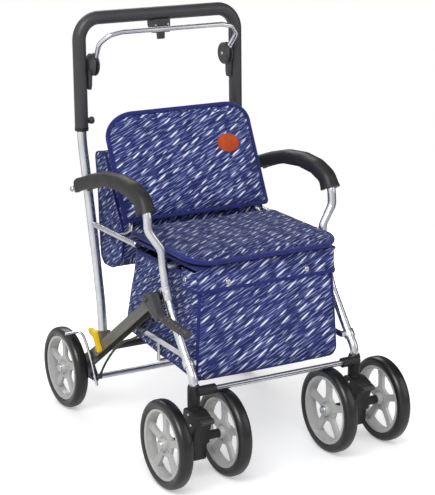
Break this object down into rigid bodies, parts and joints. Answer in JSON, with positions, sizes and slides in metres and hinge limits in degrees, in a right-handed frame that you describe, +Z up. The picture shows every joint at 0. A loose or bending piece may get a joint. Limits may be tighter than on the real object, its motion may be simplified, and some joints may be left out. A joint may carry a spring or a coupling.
{
  "type": "shopping rollator",
  "caption": "Folding shopping rollator with padded seat and backrest, push handle with brake bar, shopping bag, rear pocket, braked rear wheels and twin front swivel casters",
  "frame": {"origin": "On the floor, at the middle of the footprint: midway between the left and right wheels, and between the front and rear wheels' outer ends.", "axes": "+Z up, -Y the walking direction (the front), +X to the right as seen from the front. Left in node names is -X."},
  "size_m": [0.5338, 0.676, 0.8501],
  "materials": {
    "silver_tube": "bright anodised tube",
    "steel": "plated bolt",
    "charcoal_plastic": "fine-grained black plastic",
    "charcoal_metal": "black paint",
    "olive_metal": "dark bronze paint",
    "fabric": "indigo woven fabric with pale slanted dashes",
    "tyre": "smooth black rubber",
    "cable_rubber": "black cable sheath",
    "rim": "light grey plastic",
    "yellow_plastic": "yellow plastic"
  },
  "bodies": {
    "frame": {"armrest_bolt_left": "steel", "armrest_bolt_right": "steel", "armrest_pad_left": "charcoal_plastic", "armrest_pad_right": "charcoal_plastic", "bag_carrier": "silver_tube", "bag_flap": "fabric", "caster_socket_left": "charcoal_plastic", "caster_socket_right": "charcoal_plastic", "front_crossbar": "silver_tube", "front_frame_left": "silver_tube", "front_frame_right": "silver_tube", "leg_bracket_left": "charcoal_plastic", "leg_bracket_right": "charcoal_plastic", "seat_bearer": "silver_tube", "shopping_bag": "fabric"},
    "upright": {"backrest_bow": "silver_tube", "backrest_pad": "fabric", "rear_pouch": "fabric", "seat_hinge_rod": "silver_tube", "seat_rail_left": "silver_tube", "seat_rail_right": "silver_tube", "upright_left": "silver_tube", "upright_right": "silver_tube"},
    "brake_bar": {"brake_bar": "silver_tube"},
    "rear_legs": {"brake_cable": "cable_rubber", "rear_bracket_left": "charcoal_metal", "rear_bracket_right": "charcoal_metal", "rear_cross_tube": "charcoal_metal", "rear_leg_left": "olive_metal", "rear_leg_right": "olive_metal"},
    "brake_catch": {"brake_catch": "charcoal_plastic"},
    "handle": {"brake_hub_left": "charcoal_plastic", "brake_hub_right": "charcoal_plastic", "catch_bracket": "charcoal_plastic", "handle": "charcoal_plastic"},
    "brake_shaft": {"brake_shaft": "silver_tube"},
    "caster_lock_left": {"caster_lock_left": "charcoal_plastic"},
    "caster_lock_right": {"caster_lock_right": "charcoal_plastic"},
    "caster_left": {"caster_yoke_left": "charcoal_plastic"},
    "caster_right": {"caster_yoke_right": "charcoal_plastic"},
    "fold_lock_left": {"fold_lock_left": "yellow_plastic"},
    "fold_lock_right": {"fold_lock_right": "yellow_plastic"},
    "front_wheel_left_inner": {"front_wheel_left_inner_rim": "rim", "front_wheel_left_inner_tyre": "tyre"},
    "front_wheel_left_outer": {"front_wheel_left_outer_rim": "rim", "front_wheel_left_outer_tyre": "tyre"},
    "front_wheel_right_inner": {"front_wheel_right_inner_rim": "rim", "front_wheel_right_inner_tyre": "tyre"},
    "front_wheel_right_outer": {"front_wheel_right_outer_rim": "rim", "front_wheel_right_outer_tyre": "tyre"},
    "height_knob_left": {"height_knob_left": "charcoal_plastic"},
    "height_knob_right": {"height_knob_right": "charcoal_plastic"},
    "parking_lever": {"parking_lever": "charcoal_plastic"},
    "rear_wheel_left": {"rear_wheel_left_rim": "rim", "rear_wheel_left_tyre": "tyre"},
    "rear_wheel_right": {"rear_wheel_right_rim": "rim", "rear_wheel_right_tyre": "tyre"},
    "seat": {"seat_board": "charcoal_plastic", "seat_pad": "fabric"}
  },
  "joints": [
    {"name": "upright_fold", "type": "hinge", "parent": "frame", "child": "upright", "pos_m": [0, 0.202, 0.49], "axis": [1, 0, 0], "range_deg": [-40, 0]},
    {"name": "rear_leg_fold", "type": "hinge", "parent": "frame", "child": "rear_legs", "pos_m": [0, -0.112, 0.333], "axis": [1, 0, 0], "range_deg": [-54, 0]},
    {"name": "seat_flip", "type": "hinge", "parent": "upright", "child": "seat", "pos_m": [0, 0.048, 0.412], "axis": [1, 0, 0], "range_deg": [-65, 0]},
    {"name": "handle_height", "type": "slide", "parent": "upright", "child": "handle", "axis": [0, 0.0217, 0.9998], "range_m": [0, 0.1]},
    {"name": "brake_bar", "type": "hinge", "parent": "handle", "child": "brake_bar", "pos_m": [0, 0.2235, 0.741], "axis": [1, 0, 0], "range_deg": [-18, 0], "stiffness_Nm_per_rad": 1.5},
    {"name": "brake_catch", "type": "hinge", "parent": "handle", "child": "brake_catch", "pos_m": [0, 0.222, 0.803], "axis": [1, 0, 0], "range_deg": [-60, 0]},
    {"name": "brake_shaft", "type": "hinge", "parent": "rear_legs", "child": "brake_shaft", "pos_m": [0, 0.152, 0.09], "axis": [1, 0, 0], "range_deg": [-2.2, 0]},
    {"name": "parking_lever", "type": "hinge", "parent": "frame", "child": "parking_lever", "pos_m": [-0.2035, -0.112, 0.333], "axis": [1, 0, 0], "range_deg": [-40, 0]},
    {"name": "height_knob_left", "type": "slide", "parent": "handle", "child": "height_knob_left", "axis": [1, 0, 0], "range_m": [0, 0.006], "stiffness_N_per_m": 300},
    {"name": "fold_lock_left", "type": "hinge", "parent": "rear_legs", "child": "fold_lock_left", "pos_m": [-0.1976, 0.1309, 0.1586], "axis": [1, 0, 0], "range_deg": [-22, 0]},
    {"name": "rear_wheel_left", "type": "hinge", "parent": "rear_legs", "child": "rear_wheel_left", "pos_m": [-0.2232, 0.2505, 0.0875], "axis": [1, 0, 0], "continuous": true},
    {"name": "caster_swivel_left", "type": "hinge", "parent": "frame", "child": "caster_left", "pos_m": [-0.1856, -0.243, 0.15], "axis": [0, 0, 1], "continuous": true},
    {"name": "caster_lock_left", "type": "hinge", "parent": "caster_left", "child": "caster_lock_left", "pos_m": [-0.1856, -0.2885, 0.131], "axis": [1, 0, 0], "range_deg": [0, 25]},
    {"name": "front_wheel_left_inner", "type": "hinge", "parent": "caster_left", "child": "front_wheel_left_inner", "pos_m": [-0.1214, -0.2505, 0.0875], "axis": [1, 0, 0], "continuous": true},
    {"name": "front_wheel_left_outer", "type": "hinge", "parent": "caster_left", "child": "front_wheel_left_outer", "pos_m": [-0.2498, -0.2505, 0.0875], "axis": [1, 0, 0], "continuous": true},
    {"name": "height_knob_right", "type": "slide", "parent": "handle", "child": "height_knob_right", "axis": [-1, 0, 0], "range_m": [0, 0.006], "stiffness_N_per_m": 300},
    {"name": "fold_lock_right", "type": "hinge", "parent": "rear_legs", "child": "fold_lock_right", "pos_m": [0.1976, 0.1309, 0.1586], "axis": [1, 0, 0], "range_deg": [-22, 0]},
    {"name": "rear_wheel_right", "type": "hinge", "parent": "rear_legs", "child": "rear_wheel_right", "pos_m": [0.2232, 0.2505, 0.0875], "axis": [1, 0, 0], "continuous": true},
    {"name": "caster_swivel_right", "type": "hinge", "parent": "frame", "child": "caster_right", "pos_m": [0.1856, -0.243, 0.15], "axis": [0, 0, 1], "continuous": true},
    {"name": "caster_lock_right", "type": "hinge", "parent": "caster_right", "child": "caster_lock_right", "pos_m": [0.1856, -0.2885, 0.131], "axis": [1, 0, 0], "range_deg": [0, 25]},
    {"name": "front_wheel_right_inner", "type": "hinge", "parent": "caster_right", "child": "front_wheel_right_inner", "pos_m": [0.1214, -0.2505, 0.0875], "axis": [1, 0, 0], "continuous": true},
    {"name": "front_wheel_right_outer", "type": "hinge", "parent": "caster_right", "child": "front_wheel_right_outer", "pos_m": [0.2498, -0.2505, 0.0875], "axis": [1, 0, 0], "continuous": true}
  ],
  "couplings": [
    {"joint": "rear_leg_fold", "follows": "upright_fold", "ratio": 1.347},
    {"joint": "brake_shaft", "follows": "brake_bar", "ratio": 0.1222}
  ]
}
